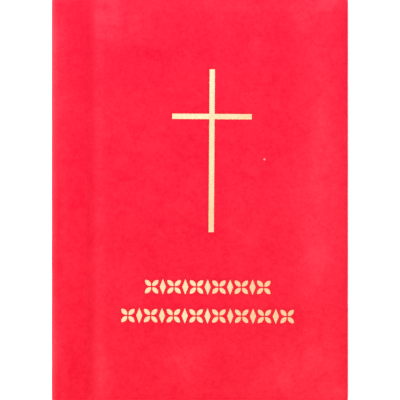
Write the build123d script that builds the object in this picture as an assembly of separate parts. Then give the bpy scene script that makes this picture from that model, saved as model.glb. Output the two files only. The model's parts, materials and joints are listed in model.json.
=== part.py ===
from build123d import *
import os
from math import cos, radians, sin, sqrt

# A small prayer book: eight sewn signatures in a soft velour case with a gold-stamped front.
# It lies shut on its back cover, so +Z points out of the front cover, +Y points to the head
# and the spine is on the -X side. The origin is under the middle of the back cover.
# All sizes are in millimetres. The back half is the front half mirrored in the middle plane.

# ---- Case ----
COVER_WIDTH = 96.2  # from the round of the spine to the fore edge
COVER_HEIGHT = 131.0  # from tail to head
SQUARE = 3.0  # how far the covers stand out past the leaves
VELOUR = 0.7  # cloth with its pile
BOARD = 2.0
BOARD_LEFT = -34.1  # spine-side edge of the boards
TURN_IN = 15.0  # cloth folded over onto the inner face of a board
PASTEDOWN = 0.2
MULL_FLANGE = 0.12
MULL_FLANGE_END = -18.0
GLUE_GAP = 0.05  # between faces that are on different moving pieces

# ---- Book block ----
LEAF_WIDTH = 89.0
LEAF_HEIGHT = COVER_HEIGHT - 2 * SQUARE
SIGNATURES = 8
SIGNATURE = 0.945  # pitch of the signatures through the block
SIGNATURE_SOLID = 0.93
LEAVES = 8  # loose leaves of the first signature
LEAF = 0.105
LEAF_PITCH = 0.118
FLYLEAF = 0.15
FLYLEAF_GAP = 0.02

# ---- Levels of the front half, from the middle plane outwards ----
BLOCK = SIGNATURES * SIGNATURE
HALF = BLOCK / 2 + FLYLEAF_GAP + FLYLEAF + GLUE_GAP + PASTEDOWN + VELOUR + BOARD + VELOUR
THICKNESS = 2 * HALF
MID = HALF
BLOCK_TOP = MID + BLOCK / 2
FLYLEAF_UNDER = BLOCK_TOP + FLYLEAF_GAP
FLYLEAF_TOP = FLYLEAF_UNDER + FLYLEAF
PASTEDOWN_UNDER = FLYLEAF_TOP + GLUE_GAP
TURN_IN_UNDER = PASTEDOWN_UNDER + PASTEDOWN
BOARD_UNDER = TURN_IN_UNDER + VELOUR
BOARD_TOP = BOARD_UNDER + BOARD

HALF_WIDTH = COVER_WIDTH / 2
HALF_HEIGHT = COVER_HEIGHT / 2
HALF_LEAF = LEAF_HEIGHT / 2
LEAF_EDGE = HALF_WIDTH - SQUARE  # fore edge of the outermost leaves

# ---- Joint of a cover: the cloth folds on the outer face of the groove ----
HINGE_X = -46.1
SPINE_CLOTH_END = HINGE_X - GLUE_GAP
PASTEDOWN_LEFT = HINGE_X + 0.2

# ---- Round of the spine: layers concentric about one line along Y ----
SPINE_RADIUS = 7.06
SPINE_X = SPINE_RADIUS - HALF_WIDTH
FOLD_RADIUS = 4.56  # touches the tips of the folded signatures
THREAD_RADIUS = 4.685
THREAD = 0.24
TIGHT_THREAD = 0.2  # where it is pulled through the paper
THREAD_ANGLE = 45.0
MULL_RADII = (4.81, 5.11)
LINING_RADII = (5.11, 5.31)
STIFFENER_RADII = (5.66, SPINE_RADIUS - VELOUR)
SPINE_CLOTH_RADII = (SPINE_RADIUS - VELOUR, SPINE_RADIUS)
HEADCAP_RADII = (5.0, SPINE_RADIUS)
MULL_ANGLE = 48.0
LINING_ANGLE = 44.0
STIFFENER_ANGLE = 36.0
CLOTH_ANGLE = 46.0
MULL_HALF_HEIGHT = 50.0
LINING_HALF_HEIGHT = 61.5
HEADCAP = 1.6  # thickness of the turned cloth at each end of the spine

# ---- Sewing and bands ----
STATIONS = (-48.0, -29.0, -10.0, 10.0, 29.0, 48.0)
STITCH_DEPTH = 0.9  # from the tip of a fold to the thread inside it
CHANNEL = 0.34  # room for the thread inside a fold
CHANNEL_HALF_LENGTH = 49.0
BAND_RADIUS = 4.3
BAND_BEAD = 1.1
BAND_ANGLE = 52.0
BAND_TAPE_ANGLE = 44.0
BAND_TAPE_RADII = (4.58, 4.79)
BAND_TAPE_START = 54.5

# ---- Fan of the loose leaves when the front cover opens ----
FLYLEAF_HINGE_X = -40.5
FLYLEAF_FULL_ANGLE = 150.0
FAN_STEP_ANGLE = 16.5  # each leaf opens this much less than the one above it
FAN_CLEARANCE = 0.035
FAN_AIR = 0.05
LEAST_FAN_STEP = 0.16

# ---- Gold stamping on the front cover ----
STAMP_TILT = -0.4  # degrees; the die was set very slightly askew
STAMP_DEPTH = 0.25
FOIL = 0.08
STROKE = 1.7
CROSS_CENTRE = (3.8, 27.1)
CROSS_TOP = 42.4
CROSS_FOOT = -10.4
CROSS_ARM = 25.8
ROW_CENTRE_X = 2.8
UPPER_ROW = (-28.2, 40.6, 11)  # height on the cover, length, number of motifs
LOWER_ROW = (-37.6, 55.9, 15)
FLOWER = 6.0
PETAL_WIDTH = 1.4
LOZENGE = (2.0, 5.0)


def slab(x, y, z):
    """Box between a low and a high limit on each axis."""
    size = [high - low for low, high in (x, y, z)]
    centre = [(high + low) / 2 for low, high in (x, y, z)]
    return Pos(*centre) * Box(*size)


def both_ways(half):
    return (-half, half)


def back_of(solid):
    """The same piece in the back half of the book."""
    return mirror(solid, about=Plane.XY.offset(MID))


# ---- Case ----
def board():
    x = (BOARD_LEFT, HALF_WIDTH - VELOUR)
    return slab(x, both_ways(HALF_HEIGHT - VELOUR), (BOARD_UNDER, BOARD_TOP))


def cover_cloth():
    """Velour of one cover: face, edges and turn-ins round the board, and the joint groove."""
    x = (BOARD_LEFT - VELOUR, HALF_WIDTH)
    body = slab(x, both_ways(HALF_HEIGHT), (TURN_IN_UNDER, THICKNESS))
    inner_right = HALF_WIDTH - TURN_IN
    inner_half = HALF_HEIGHT - TURN_IN
    window = slab((BOARD_LEFT, inner_right), both_ways(inner_half), (TURN_IN_UNDER, BOARD_UNDER))
    under_groove = TURN_IN_UNDER + MULL_FLANGE
    groove_x = (HINGE_X, BOARD_LEFT - VELOUR)
    groove = slab(groove_x, both_ways(HALF_HEIGHT), (under_groove, BOARD_UNDER))
    foot_x = (BOARD_LEFT - VELOUR, BOARD_LEFT)
    foot = slab(foot_x, both_ways(HALF_HEIGHT), (TURN_IN_UNDER, under_groove))
    return body + groove - board() - window - foot


def mull_flange():
    """Loose edge of the mull, glued under the groove cloth and onto the board."""
    y = both_ways(MULL_HALF_HEIGHT)
    step = BOARD_LEFT + MULL_FLANGE
    strip = slab((PASTEDOWN_LEFT, step), y, (TURN_IN_UNDER, TURN_IN_UNDER + MULL_FLANGE))
    rise = slab((BOARD_LEFT, step), y, (TURN_IN_UNDER, BOARD_UNDER))
    tongue = slab((BOARD_LEFT, MULL_FLANGE_END), y, (BOARD_UNDER - MULL_FLANGE, BOARD_UNDER))
    return strip + rise + tongue


def pastedown():
    """Endpaper glued inside a cover, sunk inside the window that the turn-ins leave."""
    x = (PASTEDOWN_LEFT, LEAF_EDGE)
    window_x = (BOARD_LEFT + MULL_FLANGE, HALF_WIDTH - TURN_IN)
    window_y = HALF_HEIGHT - TURN_IN
    sunk_top = BOARD_UNDER - MULL_FLANGE
    sheet = slab(x, both_ways(HALF_LEAF), (PASTEDOWN_UNDER, TURN_IN_UNDER))
    sunk = slab(window_x, both_ways(window_y), (PASTEDOWN_UNDER, sunk_top))
    hollow_x = (window_x[0] + PASTEDOWN, window_x[1] - PASTEDOWN)
    hollow = slab(hollow_x, both_ways(window_y - PASTEDOWN), (PASTEDOWN_UNDER, sunk_top - PASTEDOWN))
    return sheet + sunk - hollow


# ---- Round of the spine ----
def spine_point(radius, angle):
    """Point of the XZ plane on a circle about the spine line, at an angle above the level."""
    return (SPINE_X - radius * cos(radians(angle)), MID + radius * sin(radians(angle)))


def spine_layer(radii, angle, low, high):
    """Layer bent round the spine, between two radii, to an angle each side, from y low to high."""
    inner, outer = radii
    outline = [
        ThreePointArc(spine_point(outer, -angle), spine_point(outer, 0), spine_point(outer, angle)),
        Line(spine_point(outer, angle), spine_point(inner, angle)),
        ThreePointArc(spine_point(inner, angle), spine_point(inner, 0), spine_point(inner, -angle)),
        Line(spine_point(inner, -angle), spine_point(outer, -angle)),
    ]
    face = Plane.XZ * make_face(outline)
    return Pos(0, high, 0) * extrude(face, amount=high - low)


def bent_cord(radius, angle, thickness, y):
    """Round cord bent round the spine line, to an angle each side."""
    arc = ThreePointArc(*[spine_point(radius, end) for end in (-angle, 0, angle)])
    path = Pos(0, y, 0) * (Plane.XZ * arc)
    return sweep(Plane(origin=path @ 0, z_dir=path % 0) * Circle(thickness / 2), path)


def spine_cloth():
    """Velour round the spine, folded in over both ends and cut off at the two joints."""
    cloth = spine_layer(SPINE_CLOTH_RADII, CLOTH_ANGLE, -HALF_HEIGHT, HALF_HEIGHT)
    for low in (-HALF_HEIGHT, HALF_HEIGHT - HEADCAP):
        cloth += spine_layer(HEADCAP_RADII, CLOTH_ANGLE, low, low + HEADCAP)
    return cloth & slab((-HALF_WIDTH, SPINE_CLOTH_END), both_ways(HALF_HEIGHT), (0, THICKNESS))


def stiffener():
    half = HALF_HEIGHT - HEADCAP
    return spine_layer(STIFFENER_RADII, STIFFENER_ANGLE, -half, half)


def headband():
    """Woven band at the head: a bead along the curved edge and the tape glued to the folds."""
    bead_y = HALF_LEAF + BAND_BEAD / 2 + GLUE_GAP
    tape = spine_layer(BAND_TAPE_RADII, BAND_TAPE_ANGLE, BAND_TAPE_START, bead_y)
    return bent_cord(BAND_RADIUS, BAND_ANGLE, BAND_BEAD, bead_y) + tape


# ---- Book block ----
def signature_middle(number):
    """Height of the middle of a signature, counted from the front."""
    return BLOCK_TOP - (number - 0.5) * SIGNATURE


def fold_tip(number):
    """Where the rounded fold of a signature touches the round of the block."""
    nose = SIGNATURE_SOLID / 2
    rise = signature_middle(number) - MID
    return SPINE_X - sqrt((FOLD_RADIUS - nose) ** 2 - rise**2) - nose


def fold_nose(number, right):
    """Folded edge of a signature, rounded, from its tip to a given x."""
    nose = SIGNATURE_SOLID / 2
    level = signature_middle(number)
    start = fold_tip(number) + nose
    outline = [
        Line((right, level + nose), (start, level + nose)),
        ThreePointArc((start, level + nose), (start - nose, level), (start, level - nose)),
        Line((start, level - nose), (right, level - nose)),
        Line((right, level - nose), (right, level + nose)),
    ]
    return extrude(Plane.XZ * make_face(outline), amount=HALF_LEAF, both=True)


def thread_room(number):
    """Channel along the inside of a fold, and its holes at the sewing stations."""
    level = signature_middle(number)
    inside = fold_tip(number) + STITCH_DEPTH
    half = CHANNEL / 2
    z = (level - half, level + half)
    room = slab((inside - half, inside + half), both_ways(CHANNEL_HALF_LENGTH), z)
    for y in STATIONS:
        room += slab((fold_tip(number) - 1, inside), (y - half, y + half), z)
    return room


def signature(number):
    right = fold_tip(number) + LEAF_WIDTH
    return fold_nose(number, right) - thread_room(number)


# ---- Loose leaves ----
def fan_angle(number):
    """How far a loose leaf opens; the flyleaf is number 0."""
    return FLYLEAF_FULL_ANGLE - FAN_STEP_ANGLE * number


def leaf_thickness(number):
    return LEAF if number else FLYLEAF


def leaf_under(number):
    """Height of the lower face of a loose leaf."""
    if number == 0:
        return FLYLEAF_UNDER
    return BLOCK_TOP - (number - 1) * LEAF_PITCH - LEAF


def leaf_hinge_x(number):
    """Each leaf turns on its lower inner edge, set in far enough to clear the leaf above."""
    x = FLYLEAF_HINGE_X
    for lower in range(1, number + 1):
        angle = radians(fan_angle(lower))
        x += max(LEAST_FAN_STEP, (LEAF + FAN_AIR - LEAF_PITCH * cos(angle)) / sin(angle))
    return x


def fold_step_end(number):
    """Where the fixed fold under a loose leaf stops, clear of that leaf at its full angle."""
    thickness = leaf_thickness(number)
    angle = radians(max(90.0, fan_angle(number)))
    return leaf_hinge_x(number) - (thickness * (1 - cos(angle)) + FAN_CLEARANCE) / sin(angle)


def leaf(number):
    level = leaf_under(number)
    x = (leaf_hinge_x(number), LEAF_EDGE)
    return slab(x, both_ways(HALF_LEAF), (level, level + leaf_thickness(number)))


def endpaper_fold():
    """Folded inner edge of the endpaper, tipped to the first signature."""
    x = (fold_tip(1) + 0.5, fold_step_end(0))
    return slab(x, both_ways(HALF_LEAF), (FLYLEAF_UNDER, FLYLEAF_TOP))


def first_signature_folds():
    """Fixed folds of the first signature, stepped to leave room for each loose leaf."""
    top = BLOCK_TOP - (SIGNATURE - SIGNATURE_SOLID) / 2
    folds = fold_nose(1, fold_step_end(LEAVES))
    for number in range(1, LEAVES + 1):
        level = leaf_under(number) - (LEAF_PITCH - LEAF)
        right = leaf_hinge_x(LEAVES) + 1
        folds -= slab((fold_step_end(number - 1), right), both_ways(HALF_LEAF + 1), (level, top + 1))
    return folds - thread_room(1)


# ---- Sewing ----
def sewing():
    """Thread along the inside of every fold, out at each station and over all the folds there."""
    thread = [bent_cord(THREAD_RADIUS, THREAD_ANGLE, THREAD, y) for y in STATIONS]
    for number in range(1, SIGNATURES + 1):
        level = signature_middle(number)
        inside = fold_tip(number) + STITCH_DEPTH
        outside = SPINE_X - sqrt(THREAD_RADIUS**2 - (level - MID) ** 2)
        length = STATIONS[-1] - STATIONS[0]
        thread.append(Pos(inside, 0, level) * Rot(90, 0, 0) * Cylinder(THREAD / 2, length))
        stitch = Rot(0, 90, 0) * Cylinder(TIGHT_THREAD / 2, inside - outside)
        thread += [Pos((inside + outside) / 2, y, level) * stitch for y in STATIONS]
    return thread[0] + thread[1:]


# ---- Gold stamping ----
def place_stamp(sketch):
    """Turns the sketch of a stamp with the die and lays it on the cover at the stamped level."""
    level = THICKNESS - STAMP_DEPTH
    return Pos(0, 0, level) * (Rot(0, 0, STAMP_TILT) * sketch)


def cross():
    x, y = CROSS_CENTRE
    upright = Pos(x, (CROSS_TOP + CROSS_FOOT) / 2) * Rectangle(STROKE, CROSS_TOP - CROSS_FOOT)
    return upright + Pos(x, y) * Rectangle(CROSS_ARM, STROKE)


def petal(length, width):
    """Pointed leaf shape between two arcs, starting at the origin and lying along X."""
    upper = ThreePointArc((0, 0), (length / 2, width / 2), (length, 0))
    lower = ThreePointArc((length, 0), (length / 2, -width / 2), (0, 0))
    return make_face([upper, lower])


def flower():
    """Four petals on the diagonals."""
    gap = 0.35
    shape = Pos(gap, 0) * petal(FLOWER / 2 - gap, PETAL_WIDTH)
    return [Rot(0, 0, 45 + 90 * turn) * shape for turn in range(4)]


def lozenge():
    half_width, half_height = LOZENGE[0] / 2, LOZENGE[1] / 2
    corners = [(half_width, 0), (0, half_height), (-half_width, 0), (0, -half_height)]
    return [make_face(Polyline(corners, close=True))]


def ornament_row(row):
    """Flowers and lozenges in turn along a row, with a flower at each end."""
    y, length, count = row
    pitch = (length - FLOWER * cos(radians(45))) / (count - 1)
    motifs = []
    for number in range(count):
        x = ROW_CENTRE_X + (number - (count - 1) / 2) * pitch
        motif = lozenge() if number % 2 else flower()
        motifs += [Pos(x, y) * shape for shape in motif]
    return motifs[0] + motifs[1:]


# ---- Assembly ----
def front_stamps():
    return {
        "foil_cross": place_stamp(cross()),
        "foil_upper_row": place_stamp(ornament_row(UPPER_ROW)),
        "foil_lower_row": place_stamp(ornament_row(LOWER_ROW)),
    }


def pieces():
    """Every node of the book by its name."""
    stamps = front_stamps()
    front_cloth = cover_cloth()
    for stamp in stamps.values():
        front_cloth -= extrude(stamp, amount=STAMP_DEPTH)
    nodes = {
        "front_board": board(),
        "back_board": back_of(board()),
        "front_velour": front_cloth,
        "back_velour": back_of(cover_cloth()),
        "front_mull_flange": mull_flange(),
        "back_mull_flange": back_of(mull_flange()),
        "front_pastedown": pastedown(),
        "back_pastedown": back_of(pastedown()),
        "front_endpaper_fold": endpaper_fold(),
        "back_endpaper_fold": back_of(endpaper_fold()),
        "front_flyleaf": leaf(0),
        "back_flyleaf": back_of(leaf(0)),
        "spine_velour": spine_cloth(),
        "spine_stiffener": stiffener(),
        "mull_lining": spine_layer(MULL_RADII, MULL_ANGLE, -MULL_HALF_HEIGHT, MULL_HALF_HEIGHT),
        "spine_paper_lining": spine_layer(LINING_RADII, LINING_ANGLE, *both_ways(LINING_HALF_HEIGHT)),
        "headband": headband(),
        "tailband": mirror(headband(), about=Plane.XZ),
        "sewing_thread": sewing(),
        "signature_1_folds": first_signature_folds(),
    }
    for number in range(1, LEAVES + 1):
        nodes[f"leaf_{number}"] = leaf(number)
    for number in range(2, SIGNATURES + 1):
        nodes[f"signature_{number}"] = signature(number)
    for name, stamp in stamps.items():
        nodes[name] = extrude(stamp, amount=FOIL)
    return nodes


os.makedirs("parts", exist_ok=True)
for node, solid in pieces().items():
    export_step(solid, f"parts/{node}.step")
    print(f"{node}: {solid.volume:.2f} mm3")
for leaf_number in range(LEAVES + 1):
    print(f"leaf {leaf_number} turns at x {leaf_hinge_x(leaf_number):.4f}, z {leaf_under(leaf_number):.4f}")
print(f"thickness {THICKNESS:.3f}")
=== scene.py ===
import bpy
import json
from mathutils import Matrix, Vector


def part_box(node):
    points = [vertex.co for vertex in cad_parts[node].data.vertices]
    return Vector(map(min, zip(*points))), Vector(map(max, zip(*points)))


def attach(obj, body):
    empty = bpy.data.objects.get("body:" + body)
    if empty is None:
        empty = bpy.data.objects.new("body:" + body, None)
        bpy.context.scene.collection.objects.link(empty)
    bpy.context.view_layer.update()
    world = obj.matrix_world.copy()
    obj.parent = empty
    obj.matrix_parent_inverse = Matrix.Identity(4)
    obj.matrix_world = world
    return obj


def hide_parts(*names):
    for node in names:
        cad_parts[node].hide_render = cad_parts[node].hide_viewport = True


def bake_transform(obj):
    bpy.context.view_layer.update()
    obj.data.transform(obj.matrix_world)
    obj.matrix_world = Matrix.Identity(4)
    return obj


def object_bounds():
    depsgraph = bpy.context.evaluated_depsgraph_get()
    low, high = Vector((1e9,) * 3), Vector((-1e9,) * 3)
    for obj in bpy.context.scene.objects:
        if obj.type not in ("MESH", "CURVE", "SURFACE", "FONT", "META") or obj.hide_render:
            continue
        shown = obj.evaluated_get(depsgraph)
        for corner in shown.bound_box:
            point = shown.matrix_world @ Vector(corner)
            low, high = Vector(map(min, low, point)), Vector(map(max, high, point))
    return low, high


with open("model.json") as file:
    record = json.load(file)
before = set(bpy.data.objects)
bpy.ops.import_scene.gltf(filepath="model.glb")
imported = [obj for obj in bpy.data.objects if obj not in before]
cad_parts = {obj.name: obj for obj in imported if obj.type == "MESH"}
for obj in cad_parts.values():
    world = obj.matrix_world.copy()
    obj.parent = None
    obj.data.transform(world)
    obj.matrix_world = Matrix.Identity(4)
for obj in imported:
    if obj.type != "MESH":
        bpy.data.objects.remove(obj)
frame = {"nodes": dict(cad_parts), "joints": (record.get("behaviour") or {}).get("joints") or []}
CAD_BOUNDS = [list(corner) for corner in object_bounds()]

import json
import math
import random

import bmesh
import bpy
import numpy as np
from mathutils import Vector, noise
from mathutils.bvhtree import BVHTree

# A small prayer book in red velour, shut, seen from straight above. Shapes are worked out in
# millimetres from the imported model's boxes and joints, and turned into metres when a mesh is made.
MM = 0.001

# noise_vector draws its offsets from this seed. Without one it takes them from the clock.
noise.seed_set(1)


def box_mm(node):
    low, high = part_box(node)
    return [value / MM for value in low], [value / MM for value in high]


def joint_mm(name):
    joint = next(j for j in frame["joints"] if j["name"] == name)
    return [value / MM for value in joint["pos_m"]]


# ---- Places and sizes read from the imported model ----
LOW, HIGH = [[value / MM for value in corner] for corner in CAD_BOUNDS]
MID = (LOW[2] + HIGH[2]) / 2
BOARD_LOW = box_mm("front_board")[0]
VELOUR_LOW = box_mm("front_velour")[0]
PASTEDOWN_LOW, PASTEDOWN_HIGH = box_mm("front_pastedown")
FLYLEAF_LOW, FLYLEAF_HIGH = box_mm("front_flyleaf")
MULL_HIGH = box_mm("front_mull_flange")[1]
BEAD_LOW, BEAD_HIGH = box_mm("headband")
HINGE_X, _, HINGE_Z = joint_mm("front_cover_hinge")
SPINE_RADIUS = 7.06  # outer face of the cloth, about a line along Y at SPINE_X in the middle plane
SPINE_X = LOW[0] + SPINE_RADIUS
LEAVES = 8
SIGNATURES = 8

# ---- Velour case ----
CLOTH = 0.45  # drawn thickness of the cloth with its pile
TURN_IN = 15.0
EDGE_ROUND = 0.85  # cloth rounded over the edges of a board
SLOPE_FOOT = 3.6  # the cloth slopes up from the groove between here, outside the board's edge,
SLOPE_TOP = 0.9  # and here, inside it
GROOVE_DEPTH = 0.15  # below the crest where the cloth leaves the spine
GROOVE_HEM = 0.95  # depth of the doubled cloth at the ends of the groove
SPINE_HEM = 1.86  # and at the ends of the spine, where it wraps the stiffener
HEM_MEETS = -44.0  # the one changes into the other up to here
HEM_SHARE = 0.49  # most of the doubled cloth's depth that its rounded edge takes up
GROOVE_EASE = 1.8  # the cloth sinks from the crest to the floor of the groove over this width
GROOVE_FINE = 1.5  # and its mesh lines are close over this one
MIDDLE_LINE = 0.4  # degrees; a mesh line beside the middle of the spine, where the two halves meet
LIP = 62.6  # how far in the doubled cloth reaches at the ends of the groove and spine
LIP_STEP = 0.7  # from there to the next mesh line outside it
CREST_ROUND = 1.0  # rounding where the spine turns into the groove
COARSE = 1.6  # spacing of the mesh lines of cloth and pastedowns
FINE = 0.4  # and around the stamping, the corners and the edges of the window
CORNER_SPAN = 3.6  # how far in from an edge the mesh is fine
UNEVEN = 0.04  # how much the cloth rises and falls over the board
DEBOSS = 0.3  # depth of the pile crushed by the stamping die
DEBOSS_FLAT = 0.3  # the pile is fully crushed this near to the foil
DEBOSS_RIM = 0.85  # and stands up again from here
MITRE_CREASE = 0.14  # depth of the crease at the corners of the turn-ins
MITRE_WIDTH = 0.35

# ---- Foil ----
FOIL_THICK = 0.04
FOIL_RISE = 0.05  # its middle stands this much above its rim
FOIL_RIM = 0.12  # width of the rim
FOIL_STEP = 0.4  # spacing of points along its outline
FOIL_GRID = 0.3  # and of its mesh lines
FOIL_WANDER = 0.03  # raggedness of its outline
FOIL_CRUSH = 0.022  # unevenness of its top

# ---- Paper ----
LEAF = 0.105
LEAF_PITCH = 0.118
TRIM = 0.03  # how unevenly the fore edge is trimmed
LEAVES_BEND = 3.0  # a turning leaf bends over this width beside its hinge
STUB_END = -42.9  # the leaves of signature 1 start here, and its folds end
ENDPAPER = 0.15
PASTEDOWN_SINK = 0.58  # into the window that the turn-ins leave on the board
WINDOW_LEFT = BOARD_LOW[0] + 0.12
WINDOW_RIGHT = HIGH[0] - TURN_IN
WINDOW_TOP = HIGH[1] - TURN_IN
WINDOW_RAMP = 1.1
PASTEDOWN_MIDDLE = 0.1  # from its lower face to the middle of its thickness
MULL_SHOWS = 0.04  # how high the mull stands under the pastedown
MULL_EDGE = 0.6  # width over which the pastedown comes down off it
FOLD_X = -45.6  # where the endpaper turns back on itself in the joint
JOINT_STRIP = -44.4  # its part that bends with the cover starts here

# ---- Headbands ----
BEAD_ARC = 4.3  # radius of the line that the bead follows round the spine
BEAD_ROUND = 0.55  # radius of the bead itself
BEAD_SPAN = 47.0  # degrees to each side of the middle
BEAD_WINDINGS = 15
TAPE_RADII = (4.58, 4.79)
TAPE_SPAN = 44.0


# ==== Mesh tools ====
class Skin:
    """Gathers grids of points, in millimetres, into one mesh. Grids that share an edge are welded."""

    def __init__(self):
        self.points = []
        self.faces = []

    def grid(self, rows, keep=None, flip=False):
        first, width = len(self.points), len(rows[0])
        for row in rows:
            self.points.extend(row)
        for i in range(len(rows) - 1):
            for j in range(width - 1):
                if keep and not keep(i, j):
                    continue
                a = first + i * width + j
                face = (a, a + 1, a + width + 1, a + width)
                self.faces.append(face[::-1] if flip else face)

    def loop(self, rings, caps=True):
        """Closed rings joined into a tube, with its ends capped."""
        first, count = len(self.points), len(rings[0])
        for ring in rings:
            self.points.extend(ring)
        for i in range(len(rings) - 1):
            for j in range(count):
                a, b = first + i * count + j, first + i * count + (j + 1) % count
                self.faces.append((a, b, b + count, a + count))
        if caps:
            last = first + (len(rings) - 1) * count
            self.faces.append(tuple(range(first + count - 1, first - 1, -1)))
            self.faces.append(tuple(range(last, last + count)))

    def slab(self, top, bottom):
        """Closed plate between two grids of the same shape."""
        self.grid(top)
        self.grid(bottom, flip=True)
        for end in (0, -1):
            self.grid([top[end], bottom[end]])
            self.grid([[row[end] for row in top], [row[end] for row in bottom]])

    def build(self, name, weld=0.002):
        mesh = bpy.data.meshes.new(name)
        mesh.from_pydata([[v * MM for v in p] for p in self.points], [], self.faces)
        bm = bmesh.new()
        bm.from_mesh(mesh)
        bmesh.ops.remove_doubles(bm, verts=bm.verts, dist=weld * MM)
        bmesh.ops.dissolve_degenerate(bm, edges=bm.edges, dist=weld * MM)
        bmesh.ops.delete(bm, geom=[v for v in bm.verts if not v.link_faces], context="VERTS")
        bmesh.ops.recalc_face_normals(bm, faces=bm.faces)
        bm.to_mesh(mesh)
        bm.free()
        obj = bpy.data.objects.new(name, mesh)
        bpy.context.scene.collection.objects.link(obj)
        return obj


def steps(start, end, count):
    return [start + (end - start) * i / count for i in range(count + 1)]


def smooth(value):
    value = min(1.0, max(0.0, value))
    return value * value * (3 - 2 * value)


def spaced(stops, fine_spans):
    """Mesh lines through every stop, coarse between them but fine inside the given spans."""
    marks = sorted(set(stops) | {v for span in fine_spans for v in span if stops[0] < v < stops[-1]})
    lines = [marks[0]]
    for start, end in zip(marks, marks[1:]):
        middle = (start + end) / 2
        inside = any(low <= middle <= high for low, high in fine_spans)
        count = max(1, math.ceil((end - start) / (FINE if inside else COARSE)))
        lines += steps(start, end, count)[1:]
    return lines


def bake_modifiers(obj):
    graph = bpy.context.evaluated_depsgraph_get()
    obj.data = bpy.data.meshes.new_from_object(obj.evaluated_get(graph))
    obj.modifiers.clear()


def shade_smooth(obj, angle=None):
    obj.data.shade_smooth()
    if angle is not None:
        obj.data.set_sharp_from_angle(angle=math.radians(angle))


def face_up(obj, highest):
    """Flips a surface whose highest face doesn't point up, or down if highest is False."""
    normals = [(p.center.z, p.normal.z) for p in obj.data.polygons if abs(p.normal.z) > 0.9]
    extreme = max(normals)[1] if highest else -min(normals)[1]
    if extreme < 0:
        obj.data.flip_normals()


def solidify(obj, thickness, offset=-1):
    modifier = obj.modifiers.new("thickness", "SOLIDIFY")
    modifier.thickness = thickness * MM
    modifier.offset = offset
    bake_modifiers(obj)


def mirror_point(point):
    """The matching point in the back half of the book."""
    return (point[0], point[1], 2 * MID - point[2])


def store(obj, name, values):
    attribute = obj.data.attributes.new(name, "FLOAT", "POINT")
    attribute.data.foreach_set("value", values)


def store_rest(obj):
    """Keeps each point's place at rest, so that a pattern stays on the piece when it bends."""
    attribute = obj.data.attributes.new("rest", "FLOAT_VECTOR", "POINT")
    flat = np.zeros(len(obj.data.vertices) * 3, np.float32)
    obj.data.vertices.foreach_get("co", flat)
    attribute.data.foreach_set("vector", flat)


# ==== Material tools ====
class Shader:
    """Short way to lay out the nodes of one material."""

    def __init__(self, name):
        self.material = bpy.data.materials.new(name)
        self.material.use_nodes = True
        self.nodes = self.material.node_tree.nodes
        self.links = self.material.node_tree.links
        self.surface = self.nodes["Principled BSDF"]

    def node(self, kind, inputs=None, **settings):
        made = self.nodes.new("ShaderNode" + kind)
        for key, value in settings.items():
            setattr(made, key, value)
        for key, value in (inputs or {}).items():
            self.put(made.inputs[key], value)
        return made

    def put(self, socket, value):
        if isinstance(value, bpy.types.NodeSocket):
            self.links.new(value, socket)
        else:
            socket.default_value = value

    def set(self, **inputs):
        for key, value in inputs.items():
            self.put(self.surface.inputs[key.replace("_", " ")], value)

    def place(self, attribute=None):
        """Where the shaded point is: on the piece as it stands, or as it lay at rest."""
        if attribute:
            return self.node("Attribute", attribute_name=attribute).outputs["Vector"]
        return self.node("TexCoord").outputs["Object"]

    def noise(self, where, size_mm, detail=2.0, roughness=0.5, distortion=0.0):
        """Noise whose blotches are about size_mm across."""
        inputs = {"Vector": where, "Scale": 1 / (size_mm * MM), "Detail": detail,
                  "Roughness": roughness, "Distortion": distortion}
        return self.node("TexNoise", inputs).outputs["Fac"]

    def math(self, operation, a, b=0.0, c=0.0, clamp=False):
        made = self.node("Math", operation=operation, use_clamp=clamp)
        for socket, value in zip(made.inputs, (a, b, c)):
            self.put(socket, value)
        return made.outputs[0]

    def ramp(self, value, low, high, to_low=0.0, to_high=1.0):
        inputs = {"Value": value, "From Min": low, "From Max": high,
                  "To Min": to_low, "To Max": to_high}
        return self.node("MapRange", inputs).outputs["Result"]

    def mix(self, factor, a, b):
        made = self.node("Mix", data_type="RGBA")
        for socket, value in ((made.inputs[0], factor), (made.inputs[6], a), (made.inputs[7], b)):
            self.put(socket, value)
        return made.outputs[2]

    def bump(self, height, distance_mm, strength=1.0, under=None):
        inputs = {"Height": height, "Distance": distance_mm * MM, "Strength": strength}
        made = self.node("Bump", inputs)
        if under is not None:
            self.put(made.inputs["Normal"], under)
        return made.outputs["Normal"]


def rgb(red, green, blue):
    return (red, green, blue, 1.0)


# ==== Materials ====
# Specks of pale lint on the front cover: place and radius, in millimetres.
LINT = (
    ((21.0, 13.2), 0.42), ((34.3, -42.1), 0.09), ((-23.6, 61.6), 0.08), ((-2.1, -14.8), 0.08),
    ((-32.3, -57.7), 0.08),
)


def lint_cover(s, place):
    """1 where a speck of lint lies on the front cover, else 0."""
    over_front = s.node("Mapping", {"Vector": place, "Scale": (1.0, 1.0, 0.0)}).outputs[0]
    found = 0.0
    for (x, y), radius in LINT:
        ends = {0: over_front, 1: (x * MM, y * MM, 0.0)}
        gap = s.node("VectorMath", ends, operation="DISTANCE").outputs["Value"]
        found = s.math("MAXIMUM", found, s.ramp(gap, radius * MM, radius * MM * 0.3))
    height = s.node("SeparateXYZ", {"Vector": place}).outputs["Z"]
    return s.math("MULTIPLY", found, s.math("GREATER_THAN", height, (HIGH[2] - 1.0) * MM))


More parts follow.
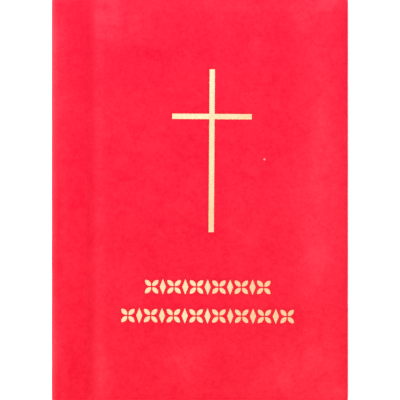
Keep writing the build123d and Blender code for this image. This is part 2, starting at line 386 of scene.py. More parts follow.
def velour_material():
    """Short dense pile: its colour follows the stored nap and painted light and shade, and is a little
    bluer towards the head.
    """
    s = Shader("velour")
    place = s.place("rest")
    # The stored nap carries painted light and shade: lighter on the spine's shoulder and the board's
    # left edge, darker in the groove and at the fore edge.
    nap_and_painted_light = s.node("Attribute", attribute_name="nap_and_painted_light").outputs["Fac"]
    blotch = s.noise(place, 5.0, detail=3, roughness=0.6, distortion=0.6)
    tuft = s.noise(place, 1.2, detail=2, roughness=0.6)
    grain = s.noise(place, 0.36, detail=1)
    tip = s.noise(place, 0.15, detail=0)
    uneven = s.math("MULTIPLY", s.math("SUBTRACT", blotch, 0.5), 1.4)
    uneven = s.math("MULTIPLY_ADD", s.math("SUBTRACT", tuft, 0.5), 1.7, uneven)
    uneven = s.math("MULTIPLY_ADD", s.math("SUBTRACT", grain, 0.5), 0.95, uneven)
    uneven = s.math("MULTIPLY_ADD", s.math("SUBTRACT", tip, 0.5), 1.3, uneven)
    value = s.math("MULTIPLY_ADD", uneven, s.ramp(nap_and_painted_light, -0.3, 0.6, 0.8, 1.25), nap_and_painted_light)
    across = s.node("SeparateXYZ", {"Vector": place}).outputs["Y"]
    down = s.ramp(across, HIGH[1] * MM, LOW[1] * MM)
    deep = s.mix(down, rgb(0.62, 0.001, 0.0258), rgb(0.62, 0.001, 0.0175))
    pale = s.mix(down, rgb(0.726, 0.0288, 0.0604), rgb(0.726, 0.0288, 0.0521))
    colour = s.mix(s.ramp(value, -1.1, 1.5), deep, pale)
    colour = s.mix(lint_cover(s, place), colour, rgb(0.78, 0.29, 0.33))
    pile = s.bump(grain, 0.1, 0.4)
    pile = s.bump(tip, 0.06, 0.7, pile)
    s.set(Base_Color=colour, Roughness=0.95, Normal=pile)
    s.set(Sheen_Weight=0.35, Sheen_Roughness=0.4, Sheen_Tint=rgb(1.0, 0.3, 0.36))
    s.set(Specular_IOR_Level=0.1)
    return s.material


def foil_material():
    """Hot-stamped gold over crushed pile: satin, mottled, lightened and darkened by a stored painted
    highlight, worn in pin pricks and broken at its rim.
    """
    s = Shader("gold_foil")
    place = s.place()
    rim = s.node("Attribute", attribute_name="rim").outputs["Fac"]
    painted_highlight = s.node("Attribute", attribute_name="painted_highlight").outputs["Fac"]
    pile = s.noise(place, 0.28, detail=2)
    # Darker and paler gold, mixed by the painted highlight and shade.
    gold = s.mix(s.ramp(painted_highlight, 0.0, 1.0), rgb(0.58, 0.365, 0.2), rgb(0.6, 0.505, 0.32))
    worn = s.ramp(s.noise(place, 0.3, detail=1), 0.72, 0.78)
    worn = s.math("MAXIMUM", worn, s.math("MULTIPLY", rim, 0.3))
    colour = s.mix(worn, gold, rgb(0.75, 0.16, 0.1))
    s.set(Base_Color=colour, Metallic=0.7, Roughness=s.ramp(pile, 0.3, 0.7, 0.34, 0.56))
    s.set(Normal=s.bump(pile, 0.06, 0.6))
    return s.material


def paper_material(name, light, dark):
    """Uncoated paper: soft mottling, fibres, and fine lines that tell each leaf's edge from the next."""
    s = Shader(name)
    place = s.place("rest")
    cloud = s.noise(place, 9.0, detail=4, roughness=0.6)
    fibre = s.noise(place, 0.35, detail=3, roughness=0.7)
    leafwise = s.node("Mapping", {"Vector": place, "Scale": (0.02, 0.02, 9.0)}).outputs[0]
    value = s.math("MULTIPLY_ADD", fibre, 0.35, s.math("MULTIPLY", cloud, 0.3))
    value = s.math("MULTIPLY_ADD", s.noise(leafwise, 1.2, detail=3), 0.35, value)
    s.set(Base_Color=s.mix(s.ramp(value, 0.3, 0.68), dark, light), Roughness=0.9)
    s.set(Specular_IOR_Level=0.25, Normal=s.bump(fibre, 0.02, 0.35))
    return s.material


def card_material():
    """Brown spine card, with the case's red cloth turned in over its two ends."""
    s = Shader("spine_card")
    place = s.place()
    fibre = s.noise(place, 0.6, detail=4, roughness=0.7)
    card = s.mix(s.ramp(fibre, 0.35, 0.7), rgb(0.4, 0.32, 0.22), rgb(0.58, 0.49, 0.36))
    across = s.math("ABSOLUTE", s.node("SeparateXYZ", {"Vector": place}).outputs["Y"])
    turned = s.math("GREATER_THAN", across, (HIGH[1] - TURN_IN) * MM)
    cloth = s.mix(s.noise(place, 0.4, detail=1), rgb(0.6, 0.004, 0.02), rgb(0.74, 0.03, 0.06))
    s.set(Base_Color=s.mix(turned, card, cloth), Roughness=0.95, Normal=s.bump(fibre, 0.05, 0.4))
    return s.material


def lining_material():
    """Brown wrapping paper, ribbed along its grain."""
    s = Shader("lining_paper")
    place = s.place()
    rib = s.node("Mapping", {"Vector": place, "Scale": (1.0, 0.06, 1.0)}).outputs[0]
    rib = s.noise(rib, 0.5, detail=2)
    s.set(Base_Color=s.mix(s.ramp(rib, 0.3, 0.7), rgb(0.36, 0.25, 0.14), rgb(0.52, 0.38, 0.23)))
    s.set(Roughness=0.9, Normal=s.bump(rib, 0.03, 0.4))
    return s.material


def board_material():
    s = Shader("grey_board")
    place = s.place()
    flake = s.noise(place, 1.4, detail=4, roughness=0.7)
    colour = s.mix(s.ramp(flake, 0.35, 0.7), rgb(0.28, 0.26, 0.24), rgb(0.46, 0.44, 0.41))
    s.set(Base_Color=colour, Roughness=0.95, Normal=s.bump(flake, 0.08, 0.4))
    return s.material


def gauze_material():
    """Open starched weave."""
    s = Shader("mull")
    place = s.place()
    weave = [
        s.node("TexWave", {"Vector": place, "Scale": 320.0}, bands_direction=axis).outputs["Fac"]
        for axis in ("X", "Y")
    ]
    thread = s.math("MAXIMUM", *weave)
    colour = s.mix(thread, rgb(0.5, 0.46, 0.38), rgb(0.85, 0.82, 0.74))
    s.set(Base_Color=colour, Roughness=0.95, Normal=s.bump(thread, 0.1, 0.6))
    return s.material


def thread_material():
    """Plied thread: fine slanted ridges."""
    s = Shader("thread")
    place = s.place()
    wave = {"Vector": place, "Scale": 500.0, "Distortion": 1.0}
    ply = s.node("TexWave", wave, bands_direction="DIAGONAL")
    lint = s.noise(place, 0.3, detail=2)
    s.set(Base_Color=s.mix(lint, rgb(0.6, 0.58, 0.53), rgb(0.85, 0.83, 0.78)), Roughness=0.6)
    s.set(Normal=s.bump(ply.outputs["Fac"], 0.04, 0.5))
    return s.material


def band_material():
    """Silky headband thread, wound in turns of red and white by the stored stripe."""
    s = Shader("band")
    stripe = s.node("Attribute", attribute_name="stripe").outputs["Fac"]
    white = s.ramp(stripe, 0.45, 0.55)
    lint = s.noise(s.place(), 0.12, detail=2)
    red = s.mix(lint, rgb(0.45, 0.01, 0.02), rgb(0.66, 0.03, 0.05))
    pale = s.mix(lint, rgb(0.7, 0.68, 0.62), rgb(0.86, 0.85, 0.8))
    s.set(Base_Color=s.mix(white, red, pale), Roughness=0.5, Normal=s.bump(lint, 0.03, 0.4))
    s.set(Sheen_Weight=0.2)
    return s.material


def floor_material():
    s = Shader("floor")
    grain = s.noise(s.place(), 4.0, detail=2)
    s.set(Base_Color=s.mix(grain, rgb(0.9, 0.9, 0.9), rgb(0.93, 0.93, 0.93)), Roughness=0.8)
    s.set(Emission_Color=rgb(1.0, 1.0, 1.0), Emission_Strength=0.42)
    return s.material


MATERIALS = {
    "velour": velour_material(),
    "gold_foil": foil_material(),
    "grey_board": board_material(),
    "spine_card": card_material(),
    "endpaper": paper_material("endpaper", rgb(0.73, 0.715, 0.665), rgb(0.67, 0.645, 0.58)),
    "leaf_paper": paper_material("leaf_paper", rgb(0.75, 0.715, 0.64), rgb(0.64, 0.595, 0.505)),
    "thread": thread_material(),
    "mull": gauze_material(),
    "lining_paper": lining_material(),
    "band": band_material(),
}


def finish_piece(obj, material, replaced=()):
    obj.data.materials.clear()
    obj.data.materials.append(MATERIALS[material])
    if replaced:
        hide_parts(*replaced)


# ==== Stamping: where the foil lies, read from its CAD solids ====
FOIL_NODES = ("foil_cross", "foil_upper_row", "foil_lower_row")


def foil_outlines(node):
    """The upper faces of a stamp's solids, one flat face for each motif."""
    bm = bmesh.new()
    bm.from_mesh(frame["nodes"][node].data)
    bmesh.ops.remove_doubles(bm, verts=bm.verts, dist=1e-7)
    bm.normal_update()
    lower = [face for face in bm.faces if face.normal.z < 0.9]
    bmesh.ops.delete(bm, geom=lower, context="FACES")
    bmesh.ops.dissolve_limit(bm, angle_limit=0.01, verts=bm.verts, edges=bm.edges)
    return bm


def stamp_tree():
    points, faces = [], []
    for node in FOIL_NODES:
        bm = foil_outlines(node)
        bmesh.ops.triangulate(bm, faces=bm.faces)
        first = len(points)
        bm.verts.index_update()
        points += [(v.co.x / MM, v.co.y / MM, 0.0) for v in bm.verts]
        faces += [tuple(first + v.index for v in face.verts) for face in bm.faces]
        bm.free()
    return BVHTree.FromPolygons(points, faces)


STAMPS = stamp_tree()


def stamp_distance(x, y):
    return STAMPS.find_nearest((x, y, 0.0))[3]


def crushed(x, y):
    """How deep the die has pressed the pile at a point of the front cover."""
    reach = (DEBOSS_RIM - stamp_distance(x, y)) / (DEBOSS_RIM - DEBOSS_FLAT)
    return DEBOSS * smooth(reach)


# ==== Velour ====
def crest():
    """Centre of the crest's rounding, and the angle where it leaves the round of the spine."""
    reach, rise = SPINE_RADIUS - CREST_ROUND, HINGE_Z - CREST_ROUND - MID
    run = math.sqrt(reach**2 - rise**2)
    return SPINE_X - run, HINGE_Z - CREST_ROUND, math.degrees(math.atan2(rise, run))


def spine_stations():
    """Along the round of the spine: outer point, matching inner point, depth of the doubled cloth."""
    shoulder = crest()[2]
    found = []
    radii = (SPINE_RADIUS, SPINE_RADIUS - SPINE_HEM)
    for angle in [0.0, MIDDLE_LINE] + steps(0.0, shoulder, 13)[1:]:
        out = (-math.cos(math.radians(angle)), math.sin(math.radians(angle)))
        outer, inner = [(SPINE_X + radius * out[0], MID + radius * out[1]) for radius in radii]
        found.append((outer, inner, SPINE_HEM))
    return found


def joint_stations():
    """The same from the crest of the spine, across the groove, and up over the edge of the board."""
    crest_x, crest_z, shoulder = crest()
    floor = HINGE_Z - GROOVE_DEPTH
    foot, top = BOARD_LOW[0] - SLOPE_FOOT, BOARD_LOW[0] + SLOPE_TOP
    outers = []
    for angle in steps(shoulder, 90.0, 9)[1:]:
        turn = math.radians(angle)
        outers.append((crest_x - CREST_ROUND * math.cos(turn), crest_z + CREST_ROUND * math.sin(turn)))
    fine_end = crest_x + GROOVE_FINE
    for x in steps(crest_x, fine_end, 6)[1:] + steps(fine_end, foot, 9)[1:]:
        outers.append((x, HINGE_Z - GROOVE_DEPTH * smooth((x - crest_x) / GROOVE_EASE)))
    for share in steps(0.0, 1.0, 16)[1:]:
        outers.append((foot + share * (top - foot), floor + (HIGH[2] - floor) * smooth(share)))
    (first_x, _), (inner_x, inner_z), _ = spine_stations()[-1]
    found = []
    for x, z in outers:
        share = min(1.0, (x - first_x) / (HEM_MEETS - first_x))
        under = min(VELOUR_LOW[2], z - GROOVE_HEM)
        inner = (inner_x + (HEM_MEETS - inner_x) * share, inner_z + (under - inner_z) * share)
        inner = inner if share < 1.0 else (x, under)
        found.append(((x, z), inner, math.dist((x, z), inner)))
    return found


def board_stations(first_x, last_x, spans):
    """The same over the board, as far as the rounded fore edge."""
    inner_right = HIGH[0] - TURN_IN
    lines = spaced([first_x, inner_right, last_x], spans)[1:]
    height = HIGH[2] - VELOUR_LOW[2]
    return [((x, HIGH[2]), (x, VELOUR_LOW[2]), height) for x in lines]


def stamped_spans(axis):
    """Stretches along x or y where the cloth's mesh is fine because of the stamping."""
    margin = 1.0
    cross_low, cross_high = box_mm(FOIL_NODES[0])
    rows = [box_mm(node) for node in FOIL_NODES[1:]]
    if axis == 0:
        return [(min(low[0] for low, _ in rows) - margin, max(high[0] for _, high in rows) + margin)]
    arm = arm_height(cross_low, cross_high)
    ends = [(end[1] - margin, end[1] + margin) for end in (cross_low, cross_high)]
    arm_span = [(arm - 2 * margin, arm + 2 * margin)]
    return ends + arm_span + [(low[1] - margin, high[1] + margin) for low, high in rows]


def arm_height(cross_low, cross_high):
    """Height of the cross's arm: the middle of the points at its two ends."""
    ends = [v.co / MM for v in frame["nodes"]["foil_cross"].data.vertices]
    near = [p.y for p in ends if p.x < cross_low[0] + 0.1 or p.x > cross_high[0] - 0.1]
    return sum(near) / len(near)


def edge_profile(height, rounding):
    """Steps over a rounded edge, from the outer face to the inner one: (share of height, outwards)."""
    found = []
    for angle in steps(0, 90, 5):
        turn = math.radians(angle)
        found.append((rounding * (1 - math.cos(turn)) / height, rounding * math.sin(turn)))
    return found + [(1 - share, out) for share, out in reversed(found)]


def cloth_lines(spans):
    """Mesh lines of the case across its height, from tail to head."""
    last = HIGH[1] - EDGE_ROUND
    half = [HIGH[1] - TURN_IN, LIP, LIP + LIP_STEP, last]
    return spaced([-y for y in reversed(half)] + [0.0] + half, spans)


def hem_rounding(height):
    """Rounding of the cloth's edge at the head and tail, smaller where the doubled cloth is thin."""
    return min(EDGE_ROUND, HEM_SHARE * height)


def along(outer, inner, share):
    return [a + (b - a) * share for a, b in zip(outer, inner)]


def case_half(stamped):
    """One skin: spine from its middle line, groove, board, rounded edges and turn-ins."""
    last_x = HIGH[0] - EDGE_ROUND
    corners = [(HIGH[axis] - CORNER_SPAN, HIGH[axis]) for axis in (0, 1)]
    x_spans, y_spans = [corners[0]], [corners[1], (-corners[1][1], -corners[1][0])]
    if stamped:
        x_spans += stamped_spans(0)
        y_spans += stamped_spans(1)
    soft = spine_stations() + joint_stations()
    stations = soft + board_stations(soft[-1][0][0], last_x, x_spans)
    lines = cloth_lines(y_spans)
    skin = Skin()
    outer_rows, inner_rows = [], []
    for outer, inner, height in stations:
        end = HIGH[1] - hem_rounding(height)
        ys = [-end] + lines[1:-1] + [end]
        outer_rows.append([(outer[0], y, outer[1]) for y in ys])
        inner_rows.append([(inner[0], y, inner[1]) for y in ys])
    skin.grid(outer_rows)

    def turned_in(i, j):
        """Whether the cloth is doubled there: a lip at the spine and groove, turn-ins on the board."""
        (outer_x, _), (_, inner_z), _ = stations[i]
        middle = abs(lines[j] + lines[j + 1]) / 2
        if inner_z < VELOUR_LOW[2] - 0.15:
            return middle > LIP
        return middle > WINDOW_TOP or outer_x > WINDOW_RIGHT - 0.01

    skin.grid(inner_rows, keep=turned_in, flip=True)
    for side in (-1, 1):
        rows = []
        for outer, inner, height in stations:
            rounding = hem_rounding(height)
            row = []
            for share, out in edge_profile(height, rounding):
                x, z = along(outer, inner, share)
                row.append((x, side * (HIGH[1] - rounding + out), z))
            rows.append(row)
        skin.grid(rows, flip=side < 0)
    height = stations[-1][2]
    profile = edge_profile(height, EDGE_ROUND)
    ys = [-(HIGH[1] - EDGE_ROUND)] + lines[1:-1] + [HIGH[1] - EDGE_ROUND]
    skin.grid([[(last_x + out, y, HIGH[2] - share * height) for share, out in profile] for y in ys])
    for side in (-1, 1):
        rows = []
        for angle in steps(0, 90, 6):
            across, up = math.cos(math.radians(angle)), math.sin(math.radians(angle))
            corner_y = HIGH[1] - EDGE_ROUND
            rows.append([
                (last_x + out * across, side * (corner_y + out * up), HIGH[2] - share * height)
                for share, out in profile
            ])
        skin.grid(rows, flip=side < 0)
    return skin


# Brushed places of the nap on the front cover, some of them painted highlight and shade along the
# spine's edge, in the groove and on the board's left edge: centre, radii and strength, lighter above
# zero.
BRUSHED_AND_PAINTED_LIGHT = (
    ((-31.0, 61.0), (3.5, 9.0), 1.3),
    ((-26.0, 57.0), (6.5, 6.0), 0.9),
    ((4.0, 66.0), (44.0, 5.5), 0.7),
    ((42.0, 65.0), (4.5, 3.5), 1.3),
    ((33.0, 58.0), (3.0, 4.0), 0.8),
    ((18.0, 53.0), (2.0, 8.0), 0.6),
    ((39.5, 22.0), (3.0, 14.0), 0.9),
    ((36.0, 2.0), (7.5, 16.0), 0.75),
    ((38.0, -20.0), (6.0, 11.0), 0.8),
    ((-3.5, -53.5), (6.0, 6.0), 0.8),
    ((27.0, -57.0), (8.0, 7.0), 0.9),
    ((39.0, -51.0), (7.0, 6.0), 0.7),
    ((44.0, -62.0), (4.0, 3.5), 0.7),
    ((-32.5, -16.4), (2.4, 0.5), 0.8),
    ((-31.5, -57.0), (3.0, 9.0), 0.9),
    ((-47.0, 52.0), (2.0, 4.0), 1.0),
    ((-47.0, -48.0), (2.0, 4.5), 1.0),
    ((-40.3, 1.6), (5.0, 6.0), -0.25),
    ((-40.3, -55.0), (5.0, 7.0), -0.2),
    ((-46.0, 50.0), (2.6, 12.0), 0.3),
    ((-47.5, -20.0), (2.8, 24.0), -1.1),
    ((-47.5, -62.0), (2.5, 7.0), -0.6),
    ((3.9, 26.0), (15.0, 15.0), -0.15),
    ((-15.6, 48.0), (17.0, 3.0), -0.4),
)
# Painted light and shade across the cover, from the spine to the fore edge, over the cloth's own level:
# lighter on the spine's round shoulder and the board's left edge, darker in the groove and over the
# rounded fore edge. (x, lightness) at each turn of the line.
NAP_AND_PAINTED_LIGHT_ACROSS = (
    (-48.1, 0.3), (-45.6, 0.2), (-43.8, 0.05), (-42.4, -0.3), (-39.5, -0.4), (-36.0, -0.6),
    (-34.6, -0.5), (-33.2, 0.1), (-32.4, 0.25), (-30.2, -0.25), (0.0, -0.35), (30.0, -0.25),
    (38.0, 0.1), (44.0, 0.0), (48.1, -0.3),
)


def nap_and_painted_light_across(x):
    xs, values = zip(*NAP_AND_PAINTED_LIGHT_ACROSS)
    return float(np.interp(x, xs, values))


def nap_and_painted_light_at(x, y, z):
    """Lightness of the pile: its level across the cover with painted light and shade, brushed places
    with some painted highlight and shade, and soft cloudy mottling.
    """
    brushed_and_painted_light = sum(
        strength * math.exp(-(((x - cx) / rx) ** 2) - ((y - cy) / ry) ** 2)
        for (cx, cy), (rx, ry), strength in BRUSHED_AND_PAINTED_LIGHT
    )
    on_front = smooth((z - MID) / 4.0 + 1.0)
    brushed_and_painted_light *= on_front * (0.85 + 0.7 * noise.noise(Vector((x / 3.2, y / 3.2, 9.0))))
    cloud = noise.fractal(Vector((x / 16, y / 16, z / 16 + 3.7)), 1.0, 2.0, 3)
    return nap_and_painted_light_across(x) + brushed_and_painted_light + 0.22 * cloud


def relief(obj, size):
    """Lets the cloth lie a little unevenly over the board."""
    mesh = obj.data
    normals = [v.normal.copy() for v in mesh.vertices]
    for vertex, normal in zip(mesh.vertices, normals):
        vertex.co += normal * (size * MM * noise.fractal(vertex.co / MM / 7.0, 1.0, 2.0, 2))


def press_stamps(obj):
    """Sinks the pile round the foil, on the outer face of the cover only."""
    lowest = HIGH[2] - 0.2
    for vertex in obj.data.vertices:
        if vertex.co.z / MM > lowest:
            vertex.co.z -= crushed(vertex.co.x / MM, vertex.co.y / MM) * MM


def crease_mitres(obj):
    """Presses in the diagonal line where the turn-ins meet at each outer corner, inside the cover."""
    for vertex in obj.data.vertices:
        x, y, z = vertex.co / MM
        depth = abs(z - MID)
        if depth > VELOUR_LOW[2] - MID + 0.5:
            continue
        off_diagonal = ((HIGH[0] - x) - (HIGH[1] - abs(y))) / math.sqrt(2)
        dip = MITRE_CREASE * math.exp(-(off_diagonal / MITRE_WIDTH) ** 2)
        vertex.co.z += math.copysign(dip, z - MID) * MM


def velour_piece(side):
    """Half of the case's one sheet of velour, from the middle of the spine to the turn-ins."""
    front = side == "front"
    skin = case_half(stamped=front)
    if not front:
        skin.points = [mirror_point(p) for p in skin.points]
    obj = skin.build(f"{side}_velour_case")
    face_up(obj, front)
    relief(obj, UNEVEN)
    crease_mitres(obj)
    if front:
        press_stamps(obj)
    solidify(obj, CLOTH)
    shade_smooth(obj, 60)
    store_rest(obj)
    # Stores the nap together with its painted light and shade, for the velour material.
    store(obj, "nap_and_painted_light", [nap_and_painted_light_at(*(v.co / MM)) for v in obj.data.vertices])
    replaced = [f"{side}_velour"] + (["spine_velour"] if front else [])
    finish_piece(obj, "velour", replaced)
    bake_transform(obj)


# ==== Foil ====
# Painted highlight and shade on the foil, from foot to top and from left to right: (place, brightness)
# at each turn.
PAINTED_HIGHLIGHT_UP = (
    (-40.0, 0.45), (-28.0, 0.45), (-8.0, 0.35), (0.0, 0.45), (10.0, 0.7), (27.0, 0.7), (40.0, 1.1),
)
PAINTED_HIGHLIGHT_ACROSS = ((-9.0, 0.2), (-6.0, 0.35), (2.0, 0.38), (4.0, 0.0), (11.0, 0.0), (14.0, -0.25))


def painted_foil_highlight(x, y):
    """Painted highlight and shade: the foil is brighter towards the top of the cross and at its left,
    and slightly mottled.
    """
    value = float(np.interp(y, *zip(*PAINTED_HIGHLIGHT_UP)) + np.interp(x, *zip(*PAINTED_HIGHLIGHT_ACROSS)))
    return value - 0.28 + 0.2 * noise.noise(Vector((x / 5, y / 5, 2.0)))


def cut_to_grid(bm, low, high, spacing):
    """Cuts flat faces along the lines of a square grid."""
    for axis in (0, 1):
        for place in np.arange(low[axis] + spacing / 2, high[axis], spacing):
            centre, normal = Vector((0, 0, 0)), Vector((0, 0, 0))
            centre[axis], normal[axis] = place * MM, 1.0
            everything = bm.verts[:] + bm.edges[:] + bm.faces[:]
            bmesh.ops.bisect_plane(bm, geom=everything, dist=1e-7, plane_co=centre, plane_no=normal)


def foil_piece(node):
    """Thin plate on the crushed pile: its rim soft and a little ragged, its top uneven with the pile."""
    bm = foil_outlines(node)
    for edge in [e for e in bm.edges if e.calc_length() > (FOIL_STEP + 0.1) * MM]:
        cuts = int(edge.calc_length() / (FOIL_STEP * MM))
        bmesh.ops.subdivide_edges(bm, edges=[edge], cuts=cuts)
    for vertex in bm.verts:
        wander = noise.noise_vector(vertex.co / MM * 2.2)
        vertex.co += Vector((wander.x, wander.y, 0)) * FOIL_WANDER * MM
    rim_height = min(v.co.z for v in bm.verts)
    bmesh.ops.inset_region(bm, faces=bm.faces[:], thickness=FOIL_RIM * MM, depth=FOIL_RISE * MM)
    cut_to_grid(bm, *box_mm(node), FOIL_GRID)
    bm.normal_update()
    mesh = bpy.data.meshes.new(f"{node}_leaf")
    bm.to_mesh(mesh)
    bm.free()
    rise = [(v.co.z - rim_height) / (FOIL_RISE * MM) for v in mesh.vertices]
    for vertex, share in zip(mesh.vertices, rise):
        crush = FOIL_CRUSH * share * noise.noise(vertex.co / MM * 1.9)
        vertex.co.z += (crush - FOIL_RISE) * MM
    obj = bpy.data.objects.new(mesh.name, mesh)
    bpy.context.scene.collection.objects.link(obj)
    store(obj, "rim", [1.0 - share for share in rise])
    solidify(obj, FOIL_THICK)
    shade_smooth(obj, 50)
    # Painted highlight and shade: brighter at the foil's left and towards the top of the cross.
    store(obj, "painted_highlight", [painted_foil_highlight(v.co.x / MM, v.co.y / MM) for v in obj.data.vertices])
    finish_piece(obj, "gold_foil", [node])
    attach(obj, "front_cover")


# ==== Paper ====
def fore_edge(z):
    """Where the trimmed fore edge lies at a height: hollow, as the back is round."""
    boxes = [box_mm(node) for node in ["leaf_4"] + [f"signature_{n}" for n in range(2, SIGNATURES + 1)]]
    heights = [(low[2] + high[2]) / 2 for low, high in boxes]
    edges = [high[0] for _, high in boxes]
    return float(np.interp(z, heights[::-1], edges[::-1]))


def leaf_wave(x, y, z):
    """Slight unevenness of the leaves, none where the block ends above and below."""
    share = (z - (2 * MID - FLYLEAF_LOW[2])) / (2 * (FLYLEAF_LOW[2] - MID))
    size = 0.03 * math.sin(math.pi * min(1.0, max(0.0, share)))
    return size * noise.noise(Vector((x / 25, y / 25, z * 0.8)))


def add_sheet(skin, path, thickness, ys, rng, cut=0.02):
    """One sheet of paper: a path of (x, z) points drawn out along y, with slightly uneven ends."""
    count = len(path)
    normals = []
    for i in range(count):
        before, after = path[max(0, i - 1)], path[min(count - 1, i + 1)]
        run, rise = after[0] - before[0], after[1] - before[1]
        length = math.hypot(run, rise)
        normals.append((-rise / length, run / length))
    trims = [rng.uniform(-cut, 0) for _ in range(2)]
    sides = ([], [])
    for row, y in enumerate(ys):
        if row in (0, len(ys) - 1):
            y -= math.copysign(trims[row > 0], y)
        for side, sign in zip(sides, (0.5, -0.5)):
            line = []
            for (x, z), (nx, nz) in zip(path, normals):
                x, z = x + sign * thickness * nx, z + sign * thickness * nz
                line.append((x, y, z + leaf_wave(x, y, z)))
            side.append(line)
    skin.slab(*sides)


def paper_lines():
    """Mesh lines of a leaf from tail to head."""
    return steps(FLYLEAF_LOW[1], FLYLEAF_HIGH[1], 20)


def folded_path(tip, middle, gap, end, upper_edge=None, lower_edge=None):
    """A sheet folded once: along its upper leaf, round the fold, and back along its lower leaf."""
    centre = tip + LEAF_PITCH * 3.5 + LEAF / 2
    straight = 12 if upper_edge is not None else 1
    top = [(x, middle + gap) for x in steps(upper_edge or end, centre, straight)]
    turns = [math.radians(angle) for angle in steps(0, 180, 10)[1:-1]]
    bend = [(centre - gap * math.sin(turn), middle + gap * math.cos(turn)) for turn in turns]
    bottom = [(x, middle - gap) for x in steps(centre, lower_edge or end, straight)]
    return top + bend + bottom


def signature_piece(number):
    """Four sheets folded together. The outer ones of the book's first signature end as stubs."""
    first = number == 1
    node = "signature_1_folds" if first else f"signature_{number}"
    low, high = box_mm(node)
    top, bottom = high[2], low[2]
    if first:
        top, bottom = box_mm("leaf_1")[1][2], box_mm(f"leaf_{LEAVES}")[0][2]
    middle = (top + bottom) / 2
    rng = random.Random(number)
    skin = Skin()
    for sheet in range(4):
        gap = LEAF_PITCH * (0.5 + sheet)
        edges = [None, None]
        if not first:
            edges = [fore_edge(middle + side * gap) + rng.uniform(-TRIM, 0.0) for side in (1, -1)]
        path = folded_path(low[0], middle, gap, STUB_END, *edges)
        add_sheet(skin, path, LEAF, paper_lines(), rng)
    obj = skin.build(f"signature_{number}_sheets", weld=0.0005)
    finish_paper(obj, "leaf_paper", [node])
    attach(obj, "text_block")


def finish_paper(obj, material, replaced):
    shade_smooth(obj, 35)
    store_rest(obj)
    finish_piece(obj, material, replaced)


def turning_lines(start, hinge, end):
    """Mesh lines across a leaf: close together where it bends."""
    bend = steps(hinge, hinge + LEAVES_BEND, 16)
    return steps(start, hinge, 4)[:-1] + bend + steps(hinge + LEAVES_BEND, end, 14)[1:]


def turn_leaf(obj):
    """Bakes the leaf's place into its mesh; the leaf lies flat."""
    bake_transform(obj)


def leaf_piece(number):
    """One loose leaf of the first signature, joined to the fold that it turns from."""
    node = f"leaf_{number}"
    low, high = box_mm(node)
    hinge = joint_mm(f"{node}_turn")
    middle = (low[2] + high[2]) / 2
    rng = random.Random(100 + number)
    edge = fore_edge(middle) + rng.uniform(-TRIM, 0.0)
    skin = Skin()
    path = [(x, middle) for x in turning_lines(STUB_END, hinge[0], edge)]
    add_sheet(skin, path, LEAF, paper_lines(), rng)
    obj = skin.build(f"{node}_sheet", weld=0.0005)
    finish_paper(obj, "leaf_paper", [node])
    turn_leaf(obj)


def window_share(x, y):
    """How far the pastedown has sunk between the turn-ins: 0 on the cloth, 1 on the board."""
    across = smooth((x - WINDOW_LEFT) / WINDOW_RAMP) * smooth((WINDOW_RIGHT - x) / WINDOW_RAMP)
    return across * smooth((WINDOW_TOP - abs(y)) / WINDOW_RAMP)


def pastedown_height(x, y):
    """Middle of the pastedown's thickness, with the edge of the mull showing faintly through it."""
    beyond = (x - MULL_HIGH[0], abs(y) - MULL_HIGH[1])
    beside_mull = max(smooth(distance / MULL_EDGE) for distance in beyond)
    sunk = window_share(x, y) * (PASTEDOWN_SINK + MULL_SHOWS * beside_mull)
    return PASTEDOWN_LOW[2] + PASTEDOWN_MIDDLE + sunk


def pastedown_piece(side):
    """The half of the endpaper that is glued inside the cover, sunk between the turn-ins."""
    x_ramps = [
        (WINDOW_LEFT, WINDOW_LEFT + WINDOW_RAMP),
        (MULL_HIGH[0] - 0.2, MULL_HIGH[0] + 0.8),
        (WINDOW_RIGHT - WINDOW_RAMP, WINDOW_RIGHT),
    ]
    y_ramps = [(WINDOW_TOP - WINDOW_RAMP, WINDOW_TOP), (-WINDOW_TOP, WINDOW_RAMP - WINDOW_TOP)]
    xs = spaced([FOLD_X, PASTEDOWN_HIGH[0]], x_ramps)
    ys = spaced([PASTEDOWN_LOW[1], PASTEDOWN_HIGH[1]], y_ramps)
    skin = Skin()
    skin.grid([[(x, y, pastedown_height(x, y)) for x in xs] for y in ys])
    if side == "back":
        skin.points = [mirror_point(p) for p in skin.points]
    obj = skin.build(f"{side}_pastedown_sheet")
    solidify(obj, ENDPAPER, offset=0)
    finish_paper(obj, "endpaper", [f"{side}_pastedown"])
    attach(obj, f"{side}_cover")


def path_piece(name, side, path, replaced):
    """A strip or leaf of endpaper along a path given for the front of the book."""
    skin = Skin()
    add_sheet(skin, path, ENDPAPER, paper_lines(), random.Random(side), cut=0.01)
    if side == "back":
        skin.points = [mirror_point(p) for p in skin.points]
    obj = skin.build(name, weld=0.0005)
    finish_paper(obj, "endpaper", replaced)
    return obj


def endpapers(side):
    """Each endpaper is one folded sheet: a pastedown, a fold in the joint, and a flyleaf that turns."""
    pastedown_piece(side)
    flyleaf_z = (FLYLEAF_LOW[2] + FLYLEAF_HIGH[2]) / 2
    pastedown_z = pastedown_height(FOLD_X, 0)
    centre, radius = (flyleaf_z + pastedown_z) / 2, (pastedown_z - flyleaf_z) / 2
    turns = [math.radians(angle) for angle in steps(0, 180, 10)[1:]]
    path = [(x, flyleaf_z) for x in steps(JOINT_STRIP, FOLD_X, 18)]
    path += [(FOLD_X - radius * math.sin(a), centre - radius * math.cos(a)) for a in turns]
    fold = path_piece(f"{side}_endpaper_joint", side, path, [f"{side}_endpaper_fold"])
    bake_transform(fold)
    hinge = joint_mm(f"{side}_flyleaf_turn")
    path = [(x, flyleaf_z) for x in turning_lines(JOINT_STRIP, hinge[0], FLYLEAF_HIGH[0])]
    leaf = path_piece(f"{side}_flyleaf_sheet", side, path, [f"{side}_flyleaf"])
    turn_leaf(leaf)


# ==== Headbands ====
def band_turn(angle):
    """Which winding of the bead an angle falls in, counted from one end, with its fraction."""
    return (angle + BEAD_SPAN) / (2 * BEAD_SPAN) * BEAD_WINDINGS


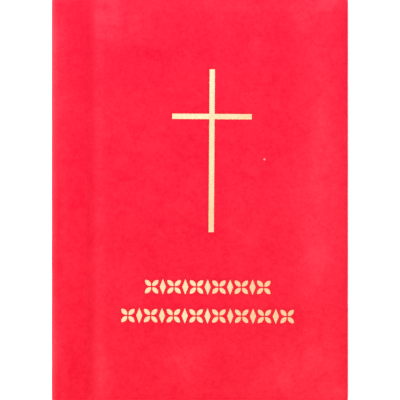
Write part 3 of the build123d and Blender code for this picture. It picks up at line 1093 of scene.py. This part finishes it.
def band_piece(node):
    """A cord wound with thread of two colours, on a tape glued to the back of the leaves."""
    end = 1 if node == "headband" else -1
    bead_y = BEAD_HIGH[1] - BEAD_ROUND
    skin = Skin()
    rings = []
    for angle in steps(-BEAD_SPAN, BEAD_SPAN, BEAD_WINDINGS * 10):
        out = (-math.cos(math.radians(angle)), math.sin(math.radians(angle)))
        swell = abs(math.sin(math.pi * 2 * band_turn(angle))) ** 0.5
        thickness = BEAD_ROUND * (0.88 + 0.12 * swell)
        ring = []
        for turn in steps(0, 360, 16)[:-1]:
            reach = BEAD_ARC + thickness * math.cos(math.radians(turn))
            y = end * (bead_y + thickness * math.sin(math.radians(turn)))
            ring.append((SPINE_X + reach * out[0], y, MID + reach * out[1]))
        rings.append(ring)
    skin.loop(rings)
    sides = []
    for radius in TAPE_RADII:
        rows = []
        for angle in steps(-TAPE_SPAN, TAPE_SPAN, 30):
            x = SPINE_X - radius * math.cos(math.radians(angle))
            z = MID + radius * math.sin(math.radians(angle))
            rows.append([(x, end * y, z) for y in steps(BEAD_LOW[1], bead_y, 10)])
        sides.append(rows)
    skin.slab(*sides)
    obj = skin.build(f"{node}_wound")
    shade_smooth(obj, 60)
    stripes = []
    for vertex in obj.data.vertices:
        p = vertex.co / MM
        up, back = p.z - MID, SPINE_X - p.x
        angle = math.degrees(math.atan2(up, back))
        on_tape = math.hypot(up, back) > BEAD_ARC + 0.25 and abs(p.y) < bead_y - 0.3
        stripes.append(1.0 if on_tape else float(int(band_turn(angle)) % 2))
    store(obj, "stripe", stripes)
    finish_piece(obj, "band", [node])
    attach(obj, "text_block")


# ==== Carried-over CAD nodes ====
KEPT = {
    "front_board": "grey_board", "back_board": "grey_board", "spine_stiffener": "spine_card",
    "mull_lining": "mull", "front_mull_flange": "mull", "back_mull_flange": "mull",
    "spine_paper_lining": "lining_paper", "sewing_thread": "thread",
}


def paint_kept_nodes():
    for node, material in KEPT.items():
        mesh = frame["nodes"][node].data
        mesh.materials.clear()
        mesh.materials.append(MATERIALS[material])


# ==== Stage ====
CAMERA_LENS = 800.0
SENSOR = 36.0
VIEW_WIDTH = 129.7  # width of the picture at the level of the front cover
VIEW_X = 0.1  # the camera stands a hair to the right of the book's middle
FLOOR_HALF = 600.0
FLOOR_DROP = 0.05  # the floor lies just under the pile of the back cover


def make_floor():
    skin = Skin()
    places = steps(-FLOOR_HALF, FLOOR_HALF, 8)
    skin.grid([[(x, y, LOW[2] - FLOOR_DROP) for y in places] for x in places])
    obj = skin.build("floor")
    face_up(obj, True)
    obj.data.materials.append(floor_material())


def area_light(name, place, size, power):
    """Soft light at a place in metres, turned towards the book."""
    data = bpy.data.lights.new(name, "AREA")
    data.shape = "RECTANGLE"
    data.size, data.size_y = size
    data.energy = power
    obj = bpy.data.objects.new(name, data)
    obj.location = place
    obj.rotation_euler = (-Vector(place)).to_track_quat("-Z", "Y").to_euler()
    bpy.context.scene.collection.objects.link(obj)


def make_lights():
    world = bpy.data.worlds.new("studio")
    world.use_nodes = True
    background = world.node_tree.nodes["Background"]
    background.inputs["Color"].default_value = rgb(1.0, 1.0, 1.0)
    background.inputs["Strength"].default_value = 0.75
    bpy.context.scene.world = world
    area_light("key_left", (-0.35, 0.2, 0.75), (0.6, 0.7), 5.8)
    area_light("fill_right", (0.45, -0.1, 0.7), (0.6, 0.6), 1.8)


def make_camera():
    data = bpy.data.cameras.new("camera")
    data.lens = CAMERA_LENS
    data.sensor_width = SENSOR
    obj = bpy.data.objects.new("camera", data)
    height = VIEW_WIDTH * CAMERA_LENS / SENSOR
    obj.location = (VIEW_X * MM, 0, (HIGH[2] + height) * MM)
    data.clip_start, data.clip_end = 0.01, 20.0
    bpy.context.scene.collection.objects.link(obj)
    bpy.context.scene.camera = obj


make_camera()
make_floor()
make_lights()
bpy.context.scene.view_settings.view_transform = "Standard"
paint_kept_nodes()
for half in ("front", "back"):
    velour_piece(half)
for foil in FOIL_NODES:
    foil_piece(foil)
for signature in range(1, SIGNATURES + 1):
    signature_piece(signature)
for leaf in range(1, LEAVES + 1):
    leaf_piece(leaf)
for half in ("front", "back"):
    endpapers(half)
for band in ("headband", "tailband"):
    band_piece(band)
